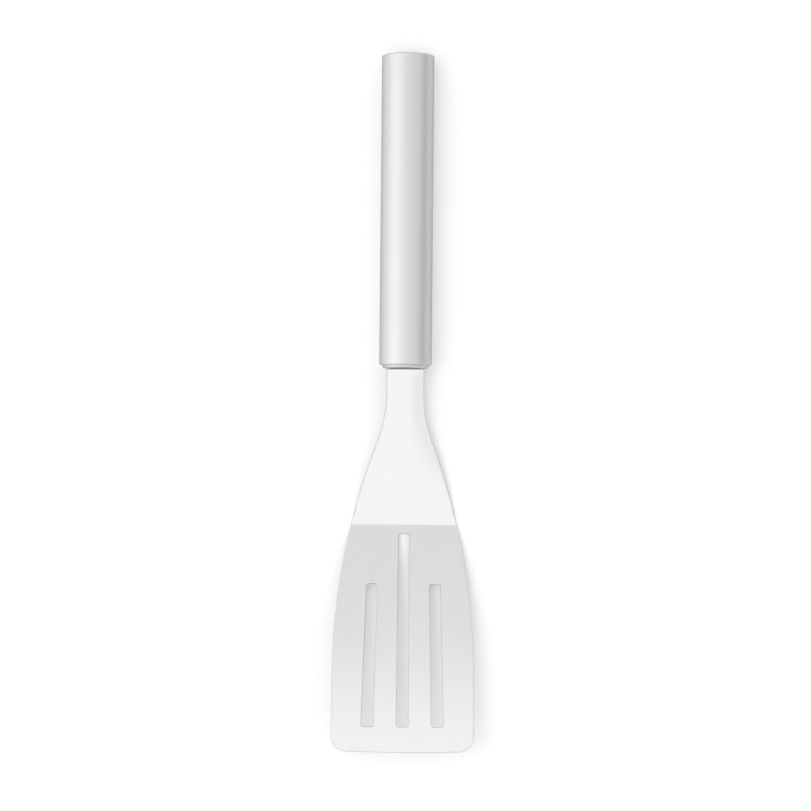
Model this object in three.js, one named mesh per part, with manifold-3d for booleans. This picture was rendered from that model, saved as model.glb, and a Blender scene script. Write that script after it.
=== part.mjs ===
// A slotted kitchen turner, all stainless steel, in millimetres.
// It lies on a table at z = 0, on its handle and on the crease of its sheet, face up.
// +Y runs from the tip of the blade to the end of the handle, +X across the blade, +Z up.
import * as THREE from 'three';
import { mergeVertices } from 'three/addons/utils/BufferGeometryUtils.js';
import Module from 'manifold-3d';

const wasm = await Module();
wasm.setup();

// Handle: a tube with a cap at each end
const HANDLE_DIAMETER = 24;
const HANDLE_LENGTH = 143;
const TUBE_WALL = 1.2;
const TUBE_END_RADIUS = 0.6;
const FRONT_CAP_STAND_OUT = 1.5;
const FRONT_EDGE_RADIUS = 1.2;
const FRONT_CAP_WALL = 1.4;
const FRONT_SKIRT_LENGTH = 9;
const END_CAP_WALL = 1.2;
const END_SKIRT_LENGTH = 7;
const END_EDGE_RADIUS = 0.3;
const SKIRT_WALL = 1;

// Sheet: tang, neck, flare, crease and blade, stamped and bent from one piece
const SHEET_THICKNESS = 1.4;
const TANG_WIDTH = 14;
const TANG_LENGTH = 34;
const TANG_TIP_WIDTH = 9;
const TANG_TIP_LENGTH = 7;
const TANG_TIP_RADIUS = 1.5;
const NECK_WIDTH = 17.2;
const NECK_ARCH = 0.6;
const NECK_ARCH_RISE = 4;
const SHANK_LENGTH = 67.4;
const FLARE_START = 10.5;
const FLARE_HOLLOW_LENGTH = 25;
const STRAIGHT_SIDE_LENGTH = 35;
const BLADE_WIDTH = 64.9;
const BLADE_LENGTH = 103.3;
const BLADE_RISE = THREE.MathUtils.degToRad(12);
const CRANK_RADIUS = 3;
const HEEL_RADIUS = 16;
const TIP_CORNER_RADIUS = 6.5;
const TIP_BOW = 0.6;

// Slots: one on the axis, and one at each side that fans out a little
const SLOT_HEEL_WIDTH = 4.9;
const SLOT_TIP_WIDTH = 5.4;
const SLOT_CORNER_RADIUS = 1;
const SLOT_TIP_MARGIN = 11.6;
const MIDDLE_SLOT_HEEL_MARGIN = 3.1;
const SIDE_SLOT_HEEL_MARGIN = 26.5;
const SIDE_SLOT_OFFSET = 16;
const SIDE_SLOT_FAN = THREE.MathUtils.degToRad(1.3);

// Support disc for the end of the tang
const SUPPORT_WALL = 1.2;
const SUPPORT_FLANGE_LENGTH = 6;

// Welds and clearances
const WELD_LEG = 3;
const WELD_END_MARGIN = 1;
const PRESS_CLEARANCE = 0.1;
const FIT_GAP = 0.3;

// Fineness of the facets
const ROUND_STEPS = 96;
const CORNER_STEPS = 6;
const BEND_STEPS = 8;
const FLARE_STEPS = 12;
const SHEET_COLUMNS = 8;

// Sizes that follow from those above
const handleRadius = HANDLE_DIAMETER / 2;
const boreRadius = handleRadius - TUBE_WALL;
const pressedRadius = boreRadius - PRESS_CLEARANCE;
const neckHalf = NECK_WIDTH / 2;
const bladeHalf = BLADE_WIDTH / 2;

// The handle's front face is at y = 0 while the pieces are made, and its axis at this height.
const axisHeight = handleRadius;

// The neck is cranked down by just enough for the crease to rest on the table beside the handle.
const bendRadii = CRANK_RADIUS + HEEL_RADIUS;
const bendReach = Math.hypot(bendRadii, SHANK_LENGTH);
const bendDrop = bendRadii + SHEET_THICKNESS / 2 - axisHeight;
const crankAngle = Math.acos(bendDrop / bendReach) - Math.atan2(SHANK_LENGTH, bendRadii);
const heelAngle = crankAngle + BLADE_RISE;

// The sheet's middle line in side view, as straight runs and bends from the tang's end to the tip.
// Distances along it are counted from the handle's front face, and are negative on the tang.
const crankStart = FIT_GAP;
const shankStart = crankStart + CRANK_RADIUS * crankAngle;
const heelStart = shankStart + SHANK_LENGTH;
const bladeStart = heelStart + HEEL_RADIUS * heelAngle;
const tipEnd = bladeStart + BLADE_LENGTH;
const runs = [
  { from: -TANG_LENGTH, to: crankStart, turn: 0 },
  { from: crankStart, to: shankStart, turn: -crankAngle },
  { from: shankStart, to: heelStart, turn: 0 },
  { from: heelStart, to: bladeStart, turn: heelAngle },
  { from: bladeStart, to: tipEnd, turn: 0 },
];

// Place and slope of the middle line at a distance along it.
function sheetLine(distance) {
  let y = TANG_LENGTH;
  let z = axisHeight;
  let slope = 0;
  for (const run of runs) {
    const last = run === runs[runs.length - 1];
    const end = distance < run.to || last ? distance : run.to;
    const length = end - run.from;
    const bend = (run.turn * length) / (run.to - run.from);
    const chord = bend === 0 ? length : (length * Math.sin(bend / 2)) / (bend / 2);
    y -= chord * Math.cos(slope + bend / 2);
    z += chord * Math.sin(slope + bend / 2);
    slope += bend;
    if (end === distance) {
      break;
    }
  }
  return { y, z, slope };
}

// Flare: a hollow arc out of the neck, then a long full arc that ends parallel to the axis.
const flareTurn = FLARE_START + FLARE_HOLLOW_LENGTH;
const flareEnd = tipEnd - STRAIGHT_SIDE_LENGTH;
const flareLength = flareEnd - FLARE_START;
const flareAngle = 2 * Math.atan((bladeHalf - neckHalf) / flareLength);
const hollowRadius = FLARE_HOLLOW_LENGTH / Math.sin(flareAngle);
const fullRadius = flareLength / Math.sin(flareAngle) - hollowRadius;

// Shoulders: the neck's stop short of the front cap, and the tang's short of its support disc.
const neckShoulder = crankStart;
const neckShoulderFoot = neckShoulder - FIT_GAP / 2;
const tangShoulder = -TANG_LENGTH + TANG_TIP_LENGTH;
const tangShoulderFoot = tangShoulder + FIT_GAP / 2;

// Inset of a rounded corner at a distance from the end that it rounds.
function cornerInset(distance, radius) {
  const reach = THREE.MathUtils.clamp(radius - distance, 0, radius);
  return radius - Math.sqrt(radius * radius - reach * reach);
}

// Half the width of the flat sheet at a distance along it.
function halfWidth(distance) {
  if (distance <= tangShoulder) {
    return TANG_TIP_WIDTH / 2 - cornerInset(distance + TANG_LENGTH, TANG_TIP_RADIUS);
  }
  if (distance <= neckShoulderFoot) {
    return TANG_WIDTH / 2;
  }
  if (distance <= FLARE_START) {
    return neckHalf;
  }
  if (distance <= flareTurn) {
    return neckHalf + hollowRadius - Math.sqrt(hollowRadius ** 2 - (distance - FLARE_START) ** 2);
  }
  const left = Math.max(flareEnd - distance, 0);
  const full = bladeHalf - fullRadius + Math.sqrt(fullRadius ** 2 - left ** 2);
  return full - cornerInset(tipEnd - distance, TIP_CORNER_RADIUS);
}

// The neck is pressed a little convex, and the flare runs it out flat before the crease.
function archHeight(distance) {
  const rise = THREE.MathUtils.smoothstep(distance, neckShoulder, neckShoulder + NECK_ARCH_RISE);
  const fall = 1 - THREE.MathUtils.smoothstep(distance, flareTurn, heelStart);
  return NECK_ARCH * rise * fall;
}

// The blade's front edge is bowed a little, and the bow dies out behind the tip's corners.
function bowLength(distance) {
  return TIP_BOW * THREE.MathUtils.smoothstep(distance, tipEnd - SLOT_TIP_MARGIN, tipEnd);
}

function evenSteps(from, to, count) {
  return Array.from({ length: count + 1 }, (_, i) => from + ((to - from) * i) / count);
}

function cornerSteps(radius) {
  return evenSteps(0, Math.PI / 2, CORNER_STEPS).map((angle) => radius * (1 - Math.cos(angle)));
}

// Distances of the sheet's rows: wherever its outline or its side view bends.
const rowDistances = [
  ...cornerSteps(TANG_TIP_RADIUS).map((step) => -TANG_LENGTH + step),
  tangShoulder,
  tangShoulderFoot,
  neckShoulderFoot,
  ...evenSteps(crankStart, shankStart, 2),
  ...evenSteps(shankStart, neckShoulder + NECK_ARCH_RISE, 4),
  ...evenSteps(FLARE_START, flareTurn, FLARE_STEPS),
  ...evenSteps(flareTurn, heelStart, FLARE_STEPS),
  ...evenSteps(heelStart, bladeStart, BEND_STEPS),
  ...evenSteps(bladeStart, flareEnd, FLARE_STEPS),
  tipEnd - SLOT_TIP_MARGIN,
  ...cornerSteps(TIP_CORNER_RADIUS).map((step) => tipEnd - step),
];

// Loft of the sheet through its rows, between two faces that lie half a thickness from the middle.
function sheetGeometry(distances, thickness, widen) {
  const rows = [...new Set(distances)].sort((a, b) => a - b);
  const positions = [];
  for (const side of [1, -1]) {
    for (const row of rows) {
      for (let column = 0; column <= SHEET_COLUMNS; column += 1) {
        const across = (2 * column) / SHEET_COLUMNS - 1;
        const distance = row - bowLength(row) * across ** 2;
        const line = sheetLine(distance);
        const lift = (side * thickness) / 2 - archHeight(row) * across ** 2;
        positions.push(
          across * (halfWidth(row) + widen),
          line.y + lift * Math.sin(line.slope),
          line.z + lift * Math.cos(line.slope),
        );
      }
    }
  }
  const upper = (row, column) => row * (SHEET_COLUMNS + 1) + column;
  const lower = (row, column) => upper(rows.length + row, column);
  const indices = [];
  const quad = (a, b, c, d) => indices.push(a, b, c, a, c, d);
  const lastRow = rows.length - 1;
  const lastColumn = SHEET_COLUMNS;
  for (let r = 0; r < lastRow; r += 1) {
    for (let c = 0; c < lastColumn; c += 1) {
      quad(upper(r, c), upper(r + 1, c), upper(r + 1, c + 1), upper(r, c + 1));
      quad(lower(r, c), lower(r, c + 1), lower(r + 1, c + 1), lower(r + 1, c));
    }
    quad(upper(r, 0), lower(r, 0), lower(r + 1, 0), upper(r + 1, 0));
    quad(upper(r, lastColumn), upper(r + 1, lastColumn), lower(r + 1, lastColumn), lower(r, lastColumn));
  }
  for (let c = 0; c < lastColumn; c += 1) {
    quad(upper(0, c), upper(0, c + 1), lower(0, c + 1), lower(0, c));
    quad(upper(lastRow, c), lower(lastRow, c), lower(lastRow, c + 1), upper(lastRow, c + 1));
  }
  const geometry = new THREE.BufferGeometry();
  geometry.setAttribute('position', new THREE.Float32BufferAttribute(positions, 3));
  geometry.setIndex(indices);
  return geometry;
}

// Solids for cutting, and back to geometry
function solidOf(geometry) {
  const bare = geometry.clone();
  bare.deleteAttribute('normal');
  bare.deleteAttribute('uv');
  const merged = mergeVertices(bare);
  const mesh = new wasm.Mesh({
    numProp: 3,
    vertProperties: new Float32Array(merged.attributes.position.array),
    triVerts: new Uint32Array(merged.index.array),
  });
  return new wasm.Manifold(mesh);
}

function geometryOf(solid) {
  const mesh = solid.getMesh();
  const geometry = new THREE.BufferGeometry();
  geometry.setAttribute('position', new THREE.Float32BufferAttribute(mesh.vertProperties, 3));
  geometry.setIndex(new THREE.Uint32BufferAttribute(mesh.triVerts, 1));
  geometry.computeVertexNormals();
  return geometry;
}

// A slot's outline: a long trapezium with rounded corners, its tip end at the origin and its heel end at +y.
function slotShape(length) {
  const corners = [
    new THREE.Vector2(-SLOT_TIP_WIDTH / 2, 0),
    new THREE.Vector2(SLOT_TIP_WIDTH / 2, 0),
    new THREE.Vector2(SLOT_HEEL_WIDTH / 2, length),
    new THREE.Vector2(-SLOT_HEEL_WIDTH / 2, length),
  ];
  const shape = new THREE.Shape();
  corners.forEach((corner, i) => {
    const before = corners[(i + corners.length - 1) % corners.length];
    const after = corners[(i + 1) % corners.length];
    const enter = corner.clone().add(before.clone().sub(corner).setLength(SLOT_CORNER_RADIUS));
    const leave = corner.clone().add(after.clone().sub(corner).setLength(SLOT_CORNER_RADIUS));
    if (i === 0) {
      shape.moveTo(enter.x, enter.y);
    } else {
      shape.lineTo(enter.x, enter.y);
    }
    shape.quadraticCurveTo(corner.x, corner.y, leave.x, leave.y);
  });
  shape.closePath();
  return shape;
}

// A slot's cutter, square to the blade and long enough to pass both faces.
function slotCutter(length, offset, fan) {
  const depth = 3 * SHEET_THICKNESS;
  const geometry = new THREE.ExtrudeGeometry(slotShape(length), {
    depth,
    bevelEnabled: false,
    curveSegments: CORNER_STEPS,
  });
  const place = sheetLine(tipEnd - SLOT_TIP_MARGIN);
  geometry.translate(0, 0, -depth / 2);
  geometry.rotateZ(fan);
  geometry.translate(offset, 0, 0);
  geometry.rotateX(-place.slope);
  geometry.translate(0, place.y, place.z);
  return geometry;
}

function bladeGeometry() {
  const middleLength = BLADE_LENGTH - SLOT_TIP_MARGIN - MIDDLE_SLOT_HEEL_MARGIN;
  const sideLength = BLADE_LENGTH - SLOT_TIP_MARGIN - SIDE_SLOT_HEEL_MARGIN;
  const slots = [
    slotCutter(middleLength, 0, 0),
    slotCutter(sideLength, SIDE_SLOT_OFFSET, SIDE_SLOT_FAN),
    slotCutter(sideLength, -SIDE_SLOT_OFFSET, -SIDE_SLOT_FAN),
  ];
  let sheet = solidOf(sheetGeometry(rowDistances, SHEET_THICKNESS, 0));
  for (const slot of slots) {
    sheet = sheet.subtract(solidOf(slot));
  }
  return geometryOf(sheet);
}

// Points of a quarter-round edge about a centre, between two angles.
function edgeArc(x, y, radius, from, to) {
  return evenSteps(from, to, CORNER_STEPS).map(
    (angle) => new THREE.Vector2(x + radius * Math.cos(angle), y + radius * Math.sin(angle)),
  );
}

// The turned pieces are round about the handle's axis.
function turned(points) {
  return new THREE.LatheGeometry(points, ROUND_STEPS);
}

// The tube's two ends have the same rounded rim.
function handleTubeGeometry() {
  const tubeFront = FRONT_CAP_STAND_OUT;
  const rimRadius = handleRadius - TUBE_END_RADIUS;
  return turned([
    new THREE.Vector2(boreRadius, tubeFront),
    ...edgeArc(rimRadius, tubeFront + TUBE_END_RADIUS, TUBE_END_RADIUS, -Math.PI / 2, 0),
    ...edgeArc(rimRadius, HANDLE_LENGTH - TUBE_END_RADIUS, TUBE_END_RADIUS, 0, Math.PI / 2),
    new THREE.Vector2(boreRadius, HANDLE_LENGTH),
    new THREE.Vector2(boreRadius, tubeFront),
  ]);
}

// The tang's own shape with a gap all round it, for the slots that it passes through.
function tangCutter() {
  const inHandle = rowDistances.filter((distance) => distance <= neckShoulderFoot);
  return sheetGeometry([-TANG_LENGTH - FIT_GAP, ...inHandle], SHEET_THICKNESS + 2 * FIT_GAP, FIT_GAP);
}

// The front cap stands a little out of the tube, and its skirt is pressed into the bore.
function frontCapGeometry() {
  const skirtEnd = FRONT_CAP_STAND_OUT + FRONT_SKIRT_LENGTH;
  const cup = turned([
    new THREE.Vector2(0, 0),
    ...edgeArc(pressedRadius - FRONT_EDGE_RADIUS, FRONT_EDGE_RADIUS, FRONT_EDGE_RADIUS, -Math.PI / 2, 0),
    new THREE.Vector2(pressedRadius, skirtEnd),
    new THREE.Vector2(pressedRadius - SKIRT_WALL, skirtEnd),
    new THREE.Vector2(pressedRadius - SKIRT_WALL, FRONT_CAP_WALL),
    new THREE.Vector2(0, FRONT_CAP_WALL),
  ]);
  cup.translate(0, 0, axisHeight);
  return geometryOf(solidOf(cup).subtract(solidOf(tangCutter())));
}

function endCapGeometry() {
  const faceRadius = pressedRadius - END_EDGE_RADIUS;
  return turned([
    new THREE.Vector2(0, HANDLE_LENGTH - END_CAP_WALL),
    new THREE.Vector2(pressedRadius - SKIRT_WALL, HANDLE_LENGTH - END_CAP_WALL),
    new THREE.Vector2(pressedRadius - SKIRT_WALL, HANDLE_LENGTH - END_SKIRT_LENGTH),
    new THREE.Vector2(pressedRadius, HANDLE_LENGTH - END_SKIRT_LENGTH),
    ...edgeArc(faceRadius, HANDLE_LENGTH - END_EDGE_RADIUS, END_EDGE_RADIUS, 0, Math.PI / 2),
    new THREE.Vector2(0, HANDLE_LENGTH),
  ]);
}

// The tang's shoulders stop against the support disc, and the tang's tip stands in its slot.
function tangSupportGeometry() {
  const discFront = -tangShoulder + FIT_GAP;
  const disc = turned([
    new THREE.Vector2(0, discFront),
    new THREE.Vector2(pressedRadius, discFront),
    new THREE.Vector2(pressedRadius, discFront + SUPPORT_FLANGE_LENGTH),
    new THREE.Vector2(pressedRadius - SKIRT_WALL, discFront + SUPPORT_FLANGE_LENGTH),
    new THREE.Vector2(pressedRadius - SKIRT_WALL, discFront + SUPPORT_WALL),
    new THREE.Vector2(0, discFront + SUPPORT_WALL),
  ]);
  disc.translate(0, 0, axisHeight);
  return geometryOf(solidOf(disc).subtract(solidOf(tangCutter())));
}

// A hollow fillet weld along the tang, its legs on the tang and on the cap's inner wall.
function tangWeldGeometry() {
  const section = new THREE.Shape();
  section.moveTo(0, 0);
  section.lineTo(WELD_LEG, 0);
  section.quadraticCurveTo(WELD_LEG / 4, WELD_LEG / 4, 0, WELD_LEG);
  section.closePath();
  const length = TANG_WIDTH - 2 * WELD_END_MARGIN;
  const geometry = new THREE.ExtrudeGeometry(section, {
    depth: length,
    bevelEnabled: false,
    curveSegments: CORNER_STEPS,
  });
  geometry.translate(0, 0, -length / 2);
  geometry.rotateY(Math.PI / 2);
  geometry.rotateX(Math.PI / 2);
  return geometry;
}

// Finishes: the sheet is satin, the handle brushed matt, and what is hidden stays as rolled
function steel(color, roughness) {
  return new THREE.MeshStandardMaterial({ color, roughness, metalness: 1 });
}

const satinSteel = steel(0xd6d6d4, 0.28);
const brushedSteel = steel(0xcfcfcd, 0.42);
const rolledSteel = steel(0xa9a9a6, 0.5);
const weldSteel = steel(0x8f8d88, 0.55);

function piece(name, geometry, material) {
  const mesh = new THREE.Mesh(geometry, material);
  mesh.name = name;
  return mesh;
}

// Assembly
const turner = new THREE.Group();

turner.add(piece('blade', bladeGeometry(), satinSteel));
turner.add(piece('front_cap', frontCapGeometry(), brushedSteel));
turner.add(piece('tang_support', tangSupportGeometry(), rolledSteel));

const handle = new THREE.Group();
handle.position.z = axisHeight;
handle.add(piece('handle_tube', handleTubeGeometry(), brushedSteel));
handle.add(piece('end_cap', endCapGeometry(), brushedSteel));

// The welds sit in the corners above and below the tang, behind the cap's wall.
const weldHeight = SHEET_THICKNESS / 2 + FIT_GAP;
const upperWeld = piece('tang_weld_upper', tangWeldGeometry(), weldSteel);
upperWeld.position.set(0, FRONT_CAP_WALL + FIT_GAP, weldHeight);
handle.add(upperWeld);
const lowerWeld = piece('tang_weld_lower', tangWeldGeometry(), weldSteel);
lowerWeld.position.set(0, FRONT_CAP_WALL + FIT_GAP, -weldHeight);
lowerWeld.rotation.y = Math.PI;
handle.add(lowerWeld);
turner.add(handle);

// The origin is under the middle of the whole turner.
const box = new THREE.Box3().setFromObject(turner, true);
turner.position.y = -(box.min.y + box.max.y) / 2;

export default turner;
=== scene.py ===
# A slotted kitchen turner, all stainless steel, lying face up on a white table. Metres, +Z up.
# +Y runs from the tip of the blade to the end of the handle, and +X across the blade.
import math

import bmesh
import bpy
from mathutils import Matrix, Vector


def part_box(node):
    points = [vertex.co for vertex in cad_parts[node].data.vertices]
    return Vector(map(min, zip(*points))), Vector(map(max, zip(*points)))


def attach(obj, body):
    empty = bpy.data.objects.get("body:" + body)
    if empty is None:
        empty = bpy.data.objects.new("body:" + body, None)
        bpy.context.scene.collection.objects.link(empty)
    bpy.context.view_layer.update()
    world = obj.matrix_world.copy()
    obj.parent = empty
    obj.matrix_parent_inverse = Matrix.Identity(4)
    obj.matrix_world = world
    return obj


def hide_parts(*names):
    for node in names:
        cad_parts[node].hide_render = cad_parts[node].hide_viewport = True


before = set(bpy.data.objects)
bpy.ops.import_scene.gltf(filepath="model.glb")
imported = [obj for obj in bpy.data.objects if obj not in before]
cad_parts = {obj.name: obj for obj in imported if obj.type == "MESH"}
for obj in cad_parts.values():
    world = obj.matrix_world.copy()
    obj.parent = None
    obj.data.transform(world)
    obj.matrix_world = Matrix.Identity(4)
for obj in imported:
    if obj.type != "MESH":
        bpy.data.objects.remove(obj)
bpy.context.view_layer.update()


# Sheet
# Tang, neck, flare, crease and blade are one stamping of stainless sheet, satin polished along its length.
# It is blanked and slotted flat and deburred, then bent across the crease and cranked down at the handle.
SHEET_THICKNESS = 0.0014
RIM_RADIUS = 0.00036
TANG_LENGTH = 0.034
TANG_HALF = 0.007
TANG_TIP_LENGTH = 0.007
TANG_TIP_HALF = 0.0045
TANG_TIP_RADIUS = 0.0015
NECK_HALF = 0.0086
NECK_ARCH = 0.0006
NECK_ARCH_RISE = 0.004
SHANK_LENGTH = 0.0674
FLARE_START = 0.0105
FLARE_HOLLOW_LENGTH = 0.025
STRAIGHT_SIDE_LENGTH = 0.035
BLADE_LENGTH = 0.1033
BLADE_RISE = math.radians(12)
CRANK_RADIUS = 0.003
HEEL_RADIUS = 0.016
TIP_CORNER_RADIUS = 0.0065
TIP_BOW = 0.0006
FIT_GAP = 0.0003

# Slots: one on the axis, and one at each side that fans out a little
SLOT_HEEL_HALF = 0.00245
SLOT_TIP_HALF = 0.0027
SLOT_CORNER_RADIUS = 0.001
SLOT_TIP_MARGIN = 0.0116
MIDDLE_SLOT_HEEL_MARGIN = 0.0031
SIDE_SLOT_HEEL_MARGIN = 0.0265
SIDE_SLOT_OFFSET = 0.016
SIDE_SLOT_FAN = math.radians(1.3)

# Fineness of the sheet's mesh
ARC_STEPS = 16
CORNER_STEPS = 10
RIM_STEPS = 3
CRANK_STEPS = 4
HEEL_STEPS = 16
SHANK_ROWS = 40
BLADE_ROWS = 22
NECK_COLUMNS = 40
TIP_CUTS = 11
NEAR = 1e-6
STEEP = 0.5

tube_low, tube_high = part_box("handle_tube")
handle_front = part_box("front_cap")[0].y
axis_height = (tube_low.z + tube_high.z) / 2
blade_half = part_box("blade")[1].x

# The neck drops by just enough for the crease to rest on the table beside the handle.
bend_radii = CRANK_RADIUS + HEEL_RADIUS
bend_drop = bend_radii + SHEET_THICKNESS / 2 - axis_height
bend_reach = math.hypot(bend_radii, SHANK_LENGTH)
crank_angle = math.acos(bend_drop / bend_reach) - math.atan2(SHANK_LENGTH, bend_radii)
heel_angle = crank_angle + BLADE_RISE

# Distances along the flat sheet, from the handle's front face towards the tip
crank_start = FIT_GAP
shank_start = crank_start + CRANK_RADIUS * crank_angle
heel_start = shank_start + SHANK_LENGTH
blade_start = heel_start + HEEL_RADIUS * heel_angle
tip_end = blade_start + BLADE_LENGTH
flare_turn = FLARE_START + FLARE_HOLLOW_LENGTH
flare_end = tip_end - STRAIGHT_SIDE_LENGTH

# The flare is a hollow arc out of the neck, then a long full arc that ends parallel to the axis.
flare_length = flare_end - FLARE_START
flare_angle = 2 * math.atan((blade_half - NECK_HALF) / flare_length)
hollow_radius = FLARE_HOLLOW_LENGTH / math.sin(flare_angle)
full_radius = flare_length / math.sin(flare_angle) - hollow_radius


def on_sheet(x, distance):
    """A point on the middle plane of the flat sheet."""
    return (x, handle_front - distance, axis_height)


def line_to(bm, pen, x, distance):
    """Draws a straight edge of an outline from its last vertex, and gives the new one."""
    point = bmesh.ops.extrude_vert_indiv(bm, verts=[pen])["verts"][0]
    point.co = on_sheet(x, distance)
    return point


def arc_to(bm, pen, x, distance, angle, steps):
    """Draws an arc of an outline about a centre, and gives its last vertex."""
    arc = bmesh.ops.spin(
        bm, geom=[pen], cent=on_sheet(x, distance), axis=(0, 0, 1), angle=angle, steps=steps
    )
    return arc["geom_last"][0]


def smooth_step(value, low, high):
    share = min(max((value - low) / (high - low), 0), 1)
    return share * share * (3 - 2 * share)


def even_steps(low, high, count):
    return [low + (high - low) * step / count for step in range(count + 1)]


sheet = bmesh.new()

# Half the outline, from the end of the tang to the middle of the tip, and its mirror image
pen = sheet.verts.new(on_sheet(0, -TANG_LENGTH))
pen = line_to(sheet, pen, TANG_TIP_HALF - TANG_TIP_RADIUS, -TANG_LENGTH)
pen = arc_to(
    sheet, pen, TANG_TIP_HALF - TANG_TIP_RADIUS, TANG_TIP_RADIUS - TANG_LENGTH, -math.pi / 2, CORNER_STEPS
)
pen = line_to(sheet, pen, TANG_TIP_HALF, TANG_TIP_LENGTH - TANG_LENGTH)
pen = line_to(sheet, pen, TANG_HALF, TANG_TIP_LENGTH - TANG_LENGTH)
pen = line_to(sheet, pen, TANG_HALF, crank_start)
pen = line_to(sheet, pen, NECK_HALF, crank_start)
pen = line_to(sheet, pen, NECK_HALF, FLARE_START)
pen = arc_to(sheet, pen, NECK_HALF + hollow_radius, FLARE_START, flare_angle, ARC_STEPS)
pen = arc_to(sheet, pen, blade_half - full_radius, flare_end, -flare_angle, 2 * ARC_STEPS)
pen = line_to(sheet, pen, blade_half, tip_end - TIP_CORNER_RADIUS)
pen = arc_to(
    sheet, pen, blade_half - TIP_CORNER_RADIUS, tip_end - TIP_CORNER_RADIUS, -math.pi / 2, CORNER_STEPS
)
pen = line_to(sheet, pen, 0, tip_end)
bmesh.ops.subdivide_edges(sheet, edges=pen.link_edges[:], cuts=TIP_CUTS)
bmesh.ops.mirror(sheet, geom=sheet.verts[:] + sheet.edges[:], axis="X", merge_dist=NEAR)


def draw_slot(bm, heel_margin, offset, fan):
    """Draws a slot: a long trapezium with rounded corners, turned about the middle of its tip end."""
    length = BLADE_LENGTH - SLOT_TIP_MARGIN - heel_margin
    corners = [
        bm.verts.new((-SLOT_TIP_HALF, 0, 0)),
        bm.verts.new((SLOT_TIP_HALF, 0, 0)),
        bm.verts.new((SLOT_HEEL_HALF, length, 0)),
        bm.verts.new((-SLOT_HEEL_HALF, length, 0)),
    ]
    for painted_corner_shade, following in zip(corners, corners[1:] + corners[:1]):
        bm.edges.new((painted_corner_shade, following))
    bmesh.ops.rotate(bm, verts=corners, matrix=Matrix.Rotation(fan, 3, "Z"))
    bmesh.ops.translate(bm, verts=corners, vec=on_sheet(offset, tip_end - SLOT_TIP_MARGIN))
    bmesh.ops.bevel(
        bm,
        geom=corners,
        offset=SLOT_CORNER_RADIUS,
        segments=CORNER_STEPS,
        profile=0.5,
        affect="VERTICES",
        material=-1,
    )


draw_slot(sheet, MIDDLE_SLOT_HEEL_MARGIN, 0, 0)
for side in (-1, 1):
    draw_slot(sheet, SIDE_SLOT_HEEL_MARGIN, side * SIDE_SLOT_OFFSET, side * SIDE_SLOT_FAN)
bmesh.ops.triangle_fill(sheet, use_beauty=True, edges=sheet.edges[:])


def cut_across(bm, geom, point, normal):
    """Cuts the faces of geom along a plane, without parting them."""
    parts = {part for face in geom for part in [face, *face.edges, *face.verts]}
    bmesh.ops.bisect_plane(bm, geom=list(parts), dist=NEAR, plane_co=point, plane_no=normal)


# Rows across the sheet, close together in its two bends, and columns along the arched neck
crank_rows = even_steps(crank_start, shank_start, CRANK_STEPS)
shank_rows = even_steps(shank_start, heel_start, SHANK_ROWS)
heel_rows = even_steps(heel_start, blade_start, HEEL_STEPS)
blade_rows = even_steps(blade_start, tip_end, BLADE_ROWS)
rows = crank_rows[:-1] + shank_rows[:-1] + heel_rows[:-1] + blade_rows[:-1]
for distance in rows:
    cut_across(sheet, sheet.faces[:], on_sheet(0, distance), (0, 1, 0))
slanting = [
    edge
    for edge in sheet.edges
    if not edge.is_boundary and abs(edge.verts[0].co.y - edge.verts[1].co.y) > NEAR
]
bmesh.ops.dissolve_edges(sheet, edges=slanting)
loose_ends = [vert for vert in sheet.verts if len(vert.link_edges) == 2 and not vert.is_boundary]
bmesh.ops.dissolve_verts(sheet, verts=loose_ends)
column_gap = 2 * blade_half / NECK_COLUMNS
for column in range(1, NECK_COLUMNS):
    neck_faces = [
        face
        for face in sheet.faces
        if crank_start < handle_front - face.calc_center_median().y < heel_start
    ]
    cut_across(sheet, neck_faces, (column * column_gap - blade_half, 0, 0), (1, 0, 0))

# The front edge of the blade is bowed a little, and the bow dies out behind the corners.
for vert in sheet.verts:
    bow = TIP_BOW * smooth_step(handle_front - vert.co.y, tip_end - SLOT_TIP_MARGIN, tip_end)
    vert.co.y += bow * (vert.co.x / blade_half) ** 2

# The blank gets its thickness, and its rims are deburred all round.
bmesh.ops.translate(sheet, verts=sheet.verts, vec=(0, 0, -SHEET_THICKNESS / 2))
raised = bmesh.ops.extrude_face_region(sheet, geom=sheet.faces[:])["geom"]
upper_verts = [part for part in raised if isinstance(part, bmesh.types.BMVert)]
bmesh.ops.translate(sheet, verts=upper_verts, vec=(0, 0, SHEET_THICKNESS))
bmesh.ops.recalc_face_normals(sheet, faces=sheet.faces)
sheared_mark = sheet.faces.layers.float.new("sheared")
rim_mark = sheet.faces.layers.float.new("rim")
sheared_faces = [face for face in sheet.faces if abs(face.normal.z) < STEEP]
for face in sheared_faces:
    face[sheared_mark] = 1
rims = [
    edge
    for edge in sheet.edges
    if sum(face[sheared_mark] for face in edge.link_faces) == 1
]
deburred = bmesh.ops.bevel(
    sheet,
    geom=rims,
    offset=RIM_RADIUS,
    segments=RIM_STEPS,
    profile=0.5,
    affect="EDGES",
    clamp_overlap=False,
    material=-1,
)
for face in deburred["faces"]:
    face[rim_mark] = 1
    face[sheared_mark] = 0

# The neck is pressed a little convex, and the flare runs it out flat before the crease.
neck_rows = {}
for vert in sheet.verts:
    if crank_start - NEAR < handle_front - vert.co.y < heel_start:
        neck_rows.setdefault(round(vert.co.y / NEAR), []).append(vert)
for row in neck_rows.values():
    distance = handle_front - row[0].co.y
    rise = smooth_step(distance, crank_start, crank_start + NECK_ARCH_RISE)
    fall = 1 - smooth_step(distance, flare_turn, heel_start)
    reach = max(abs(vert.co.x) for vert in row)
    for vert in row:
        vert.co.z -= NECK_ARCH * rise * fall * (vert.co.x / reach) ** 2


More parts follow.
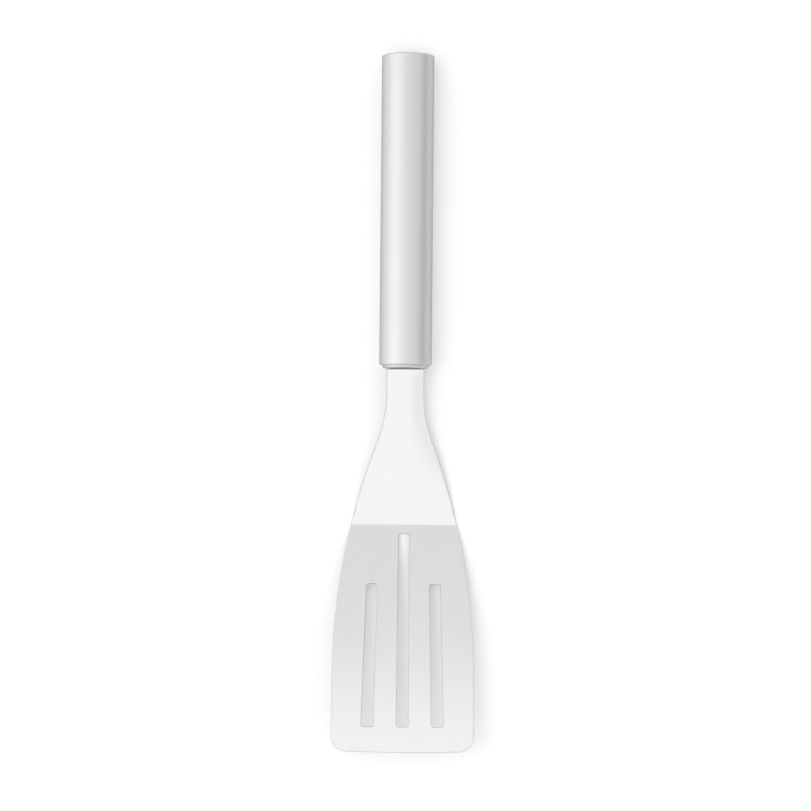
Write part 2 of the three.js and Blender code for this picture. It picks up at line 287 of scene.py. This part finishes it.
def press_bend(bm, rows, angle):
    """Bends the sheet in a press: what lies beyond each row turns by a share of the angle."""
    share = angle / (len(rows) - 1)
    for place, distance in reversed(list(enumerate(rows))):
        at_end = place in (0, len(rows) - 1)
        pivot = on_sheet(0, distance)
        beyond = [vert for vert in bm.verts if vert.co.y < pivot[1] - NEAR]
        bend = Matrix.Rotation(share / 2 if at_end else share, 3, "X")
        bmesh.ops.rotate(bm, verts=beyond, cent=pivot, matrix=bend)


press_bend(sheet, heel_rows, -heel_angle)
press_bend(sheet, crank_rows, crank_angle)


def finish_piece(bm, name, material, node):
    """Makes a piece of a mesh, smoothly shaded, that stands for a node and takes a slot's finish."""
    mesh = bpy.data.meshes.new(name)
    bm.to_mesh(mesh)
    bm.free()
    mesh.shade_smooth()
    mesh.materials.append(material)
    piece = bpy.data.objects.new(name, mesh)
    bpy.context.scene.collection.objects.link(piece)
    piece.modifiers.new("even_shading", "WEIGHTED_NORMAL")
    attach(piece, "root")
    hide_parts(node)
    return piece


class Shade:
    """A socket in a node tree. Sums and products of it add Math nodes to the tree."""

    def __init__(self, tree, socket=None):
        self.tree = tree
        self.socket = socket

    def node(self, kind, settings, sockets, output=0):
        """Adds a node, with its settings and then its sockets' values or links, and gives one output."""
        node = self.tree.nodes.new(kind)
        for name, value in settings.items():
            setattr(node, name, value)
        for name, value in sockets.items():
            if isinstance(value, Shade):
                self.tree.links.new(value.socket, node.inputs[name])
            else:
                node.inputs[name].default_value = value
        return Shade(self.tree, node.outputs[output])

    def feed(self, shader, name):
        self.tree.links.new(self.socket, shader.inputs[name])

    def math(self, operation, first, second):
        return self.node("ShaderNodeMath", {"operation": operation}, {0: first, 1: second})

    def __add__(self, other):
        return self.math("ADD", self, other)

    def __sub__(self, other):
        return self.math("SUBTRACT", self, other)

    def __rsub__(self, other):
        return self.math("SUBTRACT", other, self)

    def __mul__(self, other):
        return self.math("MULTIPLY", self, other)

    __radd__ = __add__
    __rmul__ = __mul__


def noise(shade, cycles, detail):
    """Noise with so many cycles to a metre along each axis of the piece."""
    place = shade.node("ShaderNodeTexCoord", {}, {}, "Object")
    stretched = shade.node("ShaderNodeMapping", {}, {"Vector": place, "Scale": cycles})
    return shade.node(
        "ShaderNodeTexNoise", {}, {"Vector": stretched, "Scale": 1, "Detail": detail}, "Fac"
    )


def ramp(shade, value, low, high, to_low, to_high):
    """A value carried smoothly from one range to another, and held at its ends."""
    return shade.node(
        "ShaderNodeMapRange",
        {"interpolation_type": "SMOOTHSTEP"},
        {"Value": value, "From Min": low, "From Max": high, "To Min": to_low, "To Max": to_high},
    )


def blend(shade, share, first, second):
    """A colour between two colours."""
    return shade.node("ShaderNodeMix", {"data_type": "RGBA"}, {0: share, 6: first, 7: second}, 2)


EDGE_TINT = (0.25, 0.25, 0.25, 1)
MEAN_NOISE = 0.5
FINE_DETAIL = 3
SOFT_DETAIL = 2
GRAIN_SPREAD = (0.3, 0.7)
GRAIN_SHARE = 0.7
CLOUD_SHARE = 0.3
SCRATCH_DULLNESS = 0.08
BRUSH_DEPTH = 0.000008


def new_steel(name):
    """A metal to be finished: its tree, as a shade, and its shader."""
    material = bpy.data.materials.new(name)
    material.use_nodes = True
    shader = material.node_tree.nodes["Principled BSDF"]
    shader.inputs["Metallic"].default_value = 1
    shader.inputs["Specular Tint"].default_value = EDGE_TINT
    return material, Shade(material.node_tree), shader


def brushing(shade, grain_cycles, scratch_cycles, cloud_cycles, scratch_edge):
    """A brushed finish: its fine grain, a few deeper scratches, and the clouds of its uneven sheen."""
    grain = noise(shade, grain_cycles, FINE_DETAIL)
    scratches = ramp(shade, noise(shade, scratch_cycles, SOFT_DETAIL), *scratch_edge, 0, 1)
    clouds = noise(shade, cloud_cycles, SOFT_DETAIL)
    return grain, scratches, clouds


def brush_lightness(shade, grain, clouds):
    return ramp(shade, grain, *GRAIN_SPREAD, 0, 1) * GRAIN_SHARE + CLOUD_SHARE * clouds


def brush_roughness(middle, spread, grain, clouds, scratches):
    uneven = middle + spread * (grain - MEAN_NOISE) + spread * (clouds - MEAN_NOISE)
    return uneven + SCRATCH_DULLNESS * scratches


def emboss(shade, shader, height, strength, depth):
    """Gives a surface a relief of a depth in metres."""
    bump = shade.node("ShaderNodeBump", {}, {"Height": height, "Strength": strength, "Distance": depth})
    bump.feed(shader, "Normal")


SHEET_DARK = (0.74, 0.74, 0.74, 1)
SHEET_LIGHT = (0.772, 0.772, 0.772, 1)
SHEET_PAINTED_SHADE = (0.2, 0.2, 0.2, 1)
SHEET_ROUGHNESS = 0.16
SHEET_ROUGHNESS_SPREAD = 0.05
SHEET_GRAIN = (3600, 45, 900)
SHEET_SCRATCHES = (1500, 14, 500)
SHEET_SCRATCH_EDGE = (0.64, 0.74)
SHEET_SCRATCH_SHADE = 0.25
SHEET_SCRATCH_DEPTH = 0.6
SHEET_CLOUDS = (55, 30, 55)
SHEET_RELIEF = 0.35
RIM_LIGHTNESS = 0.3
RIM_DULLNESS = 0.04
SHEARED_SHADE = 0.6
SHEARED_DULLNESS = 0.16
PAINTED_SHADE_START = 0.00065
PAINTED_SHADE_END = 0.00035


def satin_sheet_steel():
    """Satin polish along the sheet, duller on the sheared walls, with painted shade in the corner at the
    cap.
    """
    material, shade, shader = new_steel("satin_sheet_steel")
    grain, scratches, clouds = brushing(
        shade, SHEET_GRAIN, SHEET_SCRATCHES, SHEET_CLOUDS, SHEET_SCRATCH_EDGE
    )
    sheared = shade.node("ShaderNodeAttribute", {"attribute_name": "sheared"}, {}, "Fac")
    rim = shade.node("ShaderNodeAttribute", {"attribute_name": "rim"}, {}, "Fac")
    lightness = brush_lightness(shade, grain, clouds) - SHEET_SCRATCH_SHADE * scratches
    lightness = lightness + RIM_LIGHTNESS * rim - SHEARED_SHADE * sheared
    polished = blend(shade, lightness, SHEET_DARK, SHEET_LIGHT)
    # Painted shade: next to the cap's face the base colour turns dark grey, standing in for the shade where
    # the neck meets the cap.
    place = shade.node("ShaderNodeTexCoord", {}, {}, "Object")
    along = shade.node("ShaderNodeSeparateXYZ", {}, {"Vector": place}, "Y")
    painted_corner_shade = ramp(shade, along, handle_front - PAINTED_SHADE_START, handle_front - PAINTED_SHADE_END, 0, 1)
    blend(shade, painted_corner_shade, polished, SHEET_PAINTED_SHADE).feed(shader, "Base Color")
    roughness = brush_roughness(SHEET_ROUGHNESS, SHEET_ROUGHNESS_SPREAD, grain, clouds, scratches)
    (roughness + SHEARED_DULLNESS * sheared + RIM_DULLNESS * rim).feed(shader, "Roughness")
    emboss(shade, shader, grain + SHEET_SCRATCH_DEPTH * scratches, SHEET_RELIEF, BRUSH_DEPTH)
    return material


finish_piece(sheet, "blade_sheet", satin_sheet_steel(), "blade")


# Front cap
# A drawn steel cup pressed into the front of the tube, which it stands out of by a lip with a rounded edge.
# The tang goes through a slot in its face, and it is brushed with the tube after welding.
FRONT_CAP_WALL = 0.0014
FRONT_EDGE_RADIUS = 0.0012
FRONT_INNER_RADIUS = 0.0004
SKIRT_WALL = 0.001
ROUND_STEPS = 160
EDGE_STEPS = 6
FLAT = 0.999

cap_low, cap_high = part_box("front_cap")
cap_radius = cap_high.x
handle_axis = (0, 0, axis_height)


def turn(corners, radii, closed):
    """Turns a section about the handle's axis. Each corner is a radius and a place, and may be rounded."""
    bm = bmesh.new()
    verts = [bm.verts.new((radius, y, axis_height)) for radius, y in corners]
    following = verts[1:] + verts[:1] if closed else verts[1:]
    for vert, after in zip(verts, following):
        bm.edges.new((vert, after))
    for vert, radius in zip(verts, radii):
        if radius:
            bmesh.ops.bevel(
                bm,
                geom=[vert],
                offset=radius,
                segments=EDGE_STEPS,
                profile=0.5,
                affect="VERTICES",
                material=-1,
            )
    bmesh.ops.spin(
        bm,
        geom=bm.verts[:] + bm.edges[:],
        cent=handle_axis,
        axis=(0, 1, 0),
        angle=2 * math.pi,
        steps=ROUND_STEPS,
        use_merge=True,
    )
    bmesh.ops.remove_doubles(bm, verts=bm.verts, dist=NEAR)
    bmesh.ops.recalc_face_normals(bm, faces=bm.faces)
    return bm


inner_face = cap_low.y + FRONT_CAP_WALL
skirt_bore = cap_radius - SKIRT_WALL
cap = turn(
    [
        (0, cap_low.y),
        (cap_radius, cap_low.y),
        (cap_radius, cap_high.y),
        (skirt_bore, cap_high.y),
        (skirt_bore, inner_face),
        (0, inner_face),
    ],
    [0, FRONT_EDGE_RADIUS, 0, 0, FRONT_INNER_RADIUS, 0],
    closed=False,
)

# The tang's slot is cut through both faces of the cap's wall, and its sides are closed between them.
slot_half_width = TANG_HALF + FIT_GAP
slot_half_height = SHEET_THICKNESS / 2 + FIT_GAP
for side in (-1, 1):
    for point, normal in (
        ((side * slot_half_width, 0, 0), (1, 0, 0)),
        ((0, 0, axis_height + side * slot_half_height), (0, 0, 1)),
    ):
        walls = [face for face in cap.faces if abs(face.normal.y) > FLAT]
        cut_across(cap, walls, point, normal)
in_slot = [
    face
    for face in cap.faces
    if abs(face.normal.y) > FLAT
    and abs(face.calc_center_median().x) < slot_half_width
    and abs(face.calc_center_median().z - axis_height) < slot_half_height
]
bmesh.ops.delete(cap, geom=in_slot, context="FACES")
bmesh.ops.bridge_loops(cap, edges=[edge for edge in cap.edges if edge.is_boundary])
bmesh.ops.recalc_face_normals(cap, faces=cap.faces)

HANDLE_DARK = (0.66, 0.66, 0.66, 1)
HANDLE_LIGHT = (0.69, 0.69, 0.69, 1)
HANDLE_ROUGHNESS = 0.5
HANDLE_ROUGHNESS_SPREAD = 0.06
HANDLE_GRAIN = (110, 5200, 110)
HANDLE_SCRATCHES = (45, 2600, 45)
HANDLE_SCRATCH_EDGE = (0.66, 0.76)
HANDLE_SCRATCH_SHADE = 0.3
HANDLE_SCRATCH_DEPTH = 0.5
HANDLE_CLOUDS = (60, 40, 60)
HANDLE_RELIEF = 0.4


def brushed_handle_steel():
    """Matt steel, brushed round the handle, with a few deeper lines and a slightly uneven sheen."""
    material, shade, shader = new_steel("brushed_handle_steel")
    grain, scratches, clouds = brushing(
        shade, HANDLE_GRAIN, HANDLE_SCRATCHES, HANDLE_CLOUDS, HANDLE_SCRATCH_EDGE
    )
    lightness = brush_lightness(shade, grain, clouds) - HANDLE_SCRATCH_SHADE * scratches
    blend(shade, lightness, HANDLE_DARK, HANDLE_LIGHT).feed(shader, "Base Color")
    roughness = brush_roughness(HANDLE_ROUGHNESS, HANDLE_ROUGHNESS_SPREAD, grain, clouds, scratches)
    roughness.feed(shader, "Roughness")
    emboss(shade, shader, grain + HANDLE_SCRATCH_DEPTH * scratches, HANDLE_RELIEF, BRUSH_DEPTH)
    return material


handle_steel = brushed_handle_steel()
front_piece = finish_piece(cap, "front_cup", handle_steel, "front_cap")


# Tang support and welds
# A flanged disc inside the tube carries the end of the tang, and two fillet welds fix the tang to the cap.
# Nothing of them shows on the finished turner: the disc is as rolled, and the beads keep their heat tint.
ROLLED_DARK = (0.44, 0.44, 0.44, 1)
ROLLED_LIGHT = (0.62, 0.62, 0.61, 1)
ROLLED_ROUGHNESS = 0.45
ROLLED_ROUGHNESS_SPREAD = 0.2
ROLLED_CYCLES = (900, 60, 900)
ROLLED_DETAIL = 4
ROLLED_RELIEF = 0.4
ROLLED_DEPTH = 0.00003
WELD_STRAW = (0.56, 0.47, 0.33, 1)
WELD_BLUE = (0.27, 0.29, 0.36, 1)
WELD_ROUGHNESS = 0.4
WELD_ROUGHNESS_SPREAD = 0.25
WELD_RIPPLES = (900, 90, 90)
WELD_RELIEF = 0.6
WELD_DEPTH = 0.0002
WELD_TINT = (160, 300, 300)
WELD_TINT_EDGE = (0.35, 0.65)


def rolled_steel():
    """Mill finish: long rolling marks on a dull grey."""
    material, shade, shader = new_steel("rolled_steel")
    marks = noise(shade, ROLLED_CYCLES, ROLLED_DETAIL)
    blend(shade, marks, ROLLED_DARK, ROLLED_LIGHT).feed(shader, "Base Color")
    roughness = ROLLED_ROUGHNESS + ROLLED_ROUGHNESS_SPREAD * (marks - MEAN_NOISE)
    roughness.feed(shader, "Roughness")
    emboss(shade, shader, marks, ROLLED_RELIEF, ROLLED_DEPTH)
    return material


def weld_steel():
    """An unground bead: ripples along it, and straw to blue heat tint."""
    material, shade, shader = new_steel("weld_steel")
    ripples = noise(shade, WELD_RIPPLES, SOFT_DETAIL)
    tint = ramp(shade, noise(shade, WELD_TINT, FINE_DETAIL), *WELD_TINT_EDGE, 0, 1)
    blend(shade, tint, WELD_STRAW, WELD_BLUE).feed(shader, "Base Color")
    roughness = WELD_ROUGHNESS + WELD_ROUGHNESS_SPREAD * (ripples - MEAN_NOISE)
    roughness.feed(shader, "Roughness")
    emboss(shade, shader, ripples, WELD_RELIEF, WELD_DEPTH)
    return material


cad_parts["tang_support"].material_slots[0].material = rolled_steel()
bead_steel = weld_steel()
for bead in ("tang_weld_upper", "tang_weld_lower"):
    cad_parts[bead].material_slots[0].material = bead_steel


# Handle tube
# A round stainless tube, centreless ground and brushed matt round its axis, which leaves a fine grain.
# Both ends are cut square and rolled over a little, and it is welded to the caps without filler.
TUBE_WALL = 0.0012
TUBE_END_RADIUS = 0.0006

tube_radius = tube_high.x
tube_bore = tube_radius - TUBE_WALL
tube = turn(
    [
        (tube_bore, tube_low.y),
        (tube_radius, tube_low.y),
        (tube_radius, tube_high.y),
        (tube_bore, tube_high.y),
    ],
    [0, TUBE_END_RADIUS, TUBE_END_RADIUS, 0],
    closed=True,
)
tube_piece = finish_piece(tube, "tube", handle_steel, "handle_tube")


# End cap
# A drawn steel cup pressed flush into the back of the tube, face out, and brushed with it.
# Its edge is broken by a small radius, so the seam with the tube is a hairline groove.
END_CAP_WALL = 0.0012
END_EDGE_RADIUS = 0.0003
END_INNER_RADIUS = 0.0003

end_low, end_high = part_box("end_cap")
end_radius = end_high.x
end_cup = turn(
    [
        (0, end_high.y - END_CAP_WALL),
        (end_radius - SKIRT_WALL, end_high.y - END_CAP_WALL),
        (end_radius - SKIRT_WALL, end_low.y),
        (end_radius, end_low.y),
        (end_radius, end_high.y),
        (0, end_high.y),
    ],
    [0, END_INNER_RADIUS, 0, 0, END_EDGE_RADIUS, 0],
    closed=False,
)
end_piece = finish_piece(end_cup, "end_cup", handle_steel, "end_cap")


# Table
# A plain white table top, large enough to fill the view from any side. It keeps the turner's soft shadow.
# What the camera and the polished steel see of it is lifted a little, to the white of a lit backdrop.
TABLE_HALF = 6
TABLE_DROP = 0.00003
TABLE_GREY = 0.87
TABLE_LIFT = 0.15
TABLE_ROUGHNESS = 0.9

table_bm = bmesh.new()
bmesh.ops.create_grid(table_bm, x_segments=1, y_segments=1, size=TABLE_HALF)
bmesh.ops.translate(table_bm, verts=table_bm.verts, vec=(0, 0, -TABLE_DROP))
table_mesh = bpy.data.meshes.new("table")
table_bm.to_mesh(table_mesh)
table_bm.free()
table = bpy.data.objects.new("table", table_mesh)
bpy.context.scene.collection.objects.link(table)

table_white = bpy.data.materials.new("table_white")
table_white.use_nodes = True
table_shader = table_white.node_tree.nodes["Principled BSDF"]
table_shader.inputs["Base Color"].default_value = (TABLE_GREY, TABLE_GREY, TABLE_GREY, 1)
table_shader.inputs["Roughness"].default_value = TABLE_ROUGHNESS
table_shader.inputs["Specular IOR Level"].default_value = 0
table_shader.inputs["Emission Strength"].default_value = TABLE_LIFT
table_shade = Shade(table_white.node_tree)
seen = [
    table_shade.node("ShaderNodeLightPath", {}, {}, ray)
    for ray in ("Is Camera Ray", "Is Glossy Ray", "Is Transmission Ray")
]
(seen[0] + seen[1] + seen[2]).feed(table_shader, "Emission Color")
table_mesh.materials.append(table_white)


# Light
# A pale room that is dark low down at the right and dimmer at both ends, with a soft box over the blade.
# A card at the right is seen only in the steel, and two more only in the brushed handle.
# A box at the upper left is hidden from the steel and casts the shadow.
ROOM_GREY = 0.925
FLAG_GREY = 0.02
FLAG_EDGE_START = 0.914
FLAG_EDGE_END = 0.938
END_SHARE = 0.5
END_EDGE_START = 0.75
END_EDGE_END = 0.95
BOX_HEIGHT = 1.5

world = bpy.data.worlds.new("studio")
bpy.context.scene.world = world
world.use_nodes = True
room = Shade(world.node_tree)
direction = room.node("ShaderNodeTexCoord", {}, {}, "Generated")
sideways = room.node("ShaderNodeSeparateXYZ", {}, {"Vector": direction}, "X")
lengthways = room.node("ShaderNodeSeparateXYZ", {}, {"Vector": direction}, "Y")
side_walls = ramp(room, sideways, FLAG_EDGE_START, FLAG_EDGE_END, ROOM_GREY, FLAG_GREY)
end_walls = ramp(room, room.math("ABSOLUTE", lengthways, 0), END_EDGE_START, END_EDGE_END, 1, END_SHARE)
(side_walls * end_walls).feed(world.node_tree.nodes["Background"], "Color")


def soft_box(name, place, tilt, width, length, brightness):
    """A rectangular soft box that faces down, tilted about +Y in degrees. A brightness of 1 is white."""
    lamp = bpy.data.lights.new(name, "AREA")
    lamp.shape = "RECTANGLE"
    lamp.size = width
    lamp.size_y = length
    lamp.energy = brightness * math.pi * width * length
    box = bpy.data.objects.new(name, lamp)
    box.location = place
    box.rotation_euler = (0, math.radians(tilt), 0)
    bpy.context.scene.collection.objects.link(box)
    return box


soft_box(
    "overhead_box", place=(-0.215, -0.49, BOX_HEIGHT), tilt=0, width=0.773, length=1.62, brightness=0.29
)
right_card = soft_box(
    "right_card", place=(1.08, -0.49, BOX_HEIGHT), tilt=0, width=1.816, length=1.62, brightness=0.142
)
back_card = soft_box(
    "back_card", place=(1.075, 0.035, BOX_HEIGHT), tilt=0, width=1.19, length=0.57, brightness=0.55
)
left_card = soft_box(
    "left_card", place=(-1.166, 0, 0.944), tilt=-51, width=1.66, length=1.4, brightness=0.74
)
right_card.visible_diffuse = False
shadow_box = soft_box(
    "shadow_box", place=(-0.5, 0, 1.45), tilt=-19, width=0.75, length=0.75, brightness=2.2
)
shadow_box.visible_glossy = False

# The polished sheet would mirror these two cards as plain white, so they light the handle alone.
brushed_pieces = bpy.data.collections.new("brushed_pieces")
for piece in (front_piece, tube_piece, end_piece):
    brushed_pieces.objects.link(piece)
for card in (back_card, left_card):
    card.light_linking.receiver_collection = brushed_pieces


# Camera
# It looks straight down on the turner, turned by half a degree as the photographed one lies.
CAMERA_HEIGHT = 0.989
CAMERA_LENS = 94.7
SENSOR_WIDTH = 36
CAMERA_FOOT = (0.0002, -0.00129)
CAMERA_ROLL = math.radians(0.53)

camera_data = bpy.data.cameras.new("camera")
camera_data.sensor_width = SENSOR_WIDTH
camera_data.lens = CAMERA_LENS
camera = bpy.data.objects.new("camera", camera_data)
camera.location = (*CAMERA_FOOT, CAMERA_HEIGHT)
camera.rotation_euler = (0, 0, CAMERA_ROLL)
bpy.context.scene.collection.objects.link(camera)
bpy.context.scene.camera = camera
bpy.context.scene.view_settings.view_transform = "Standard"
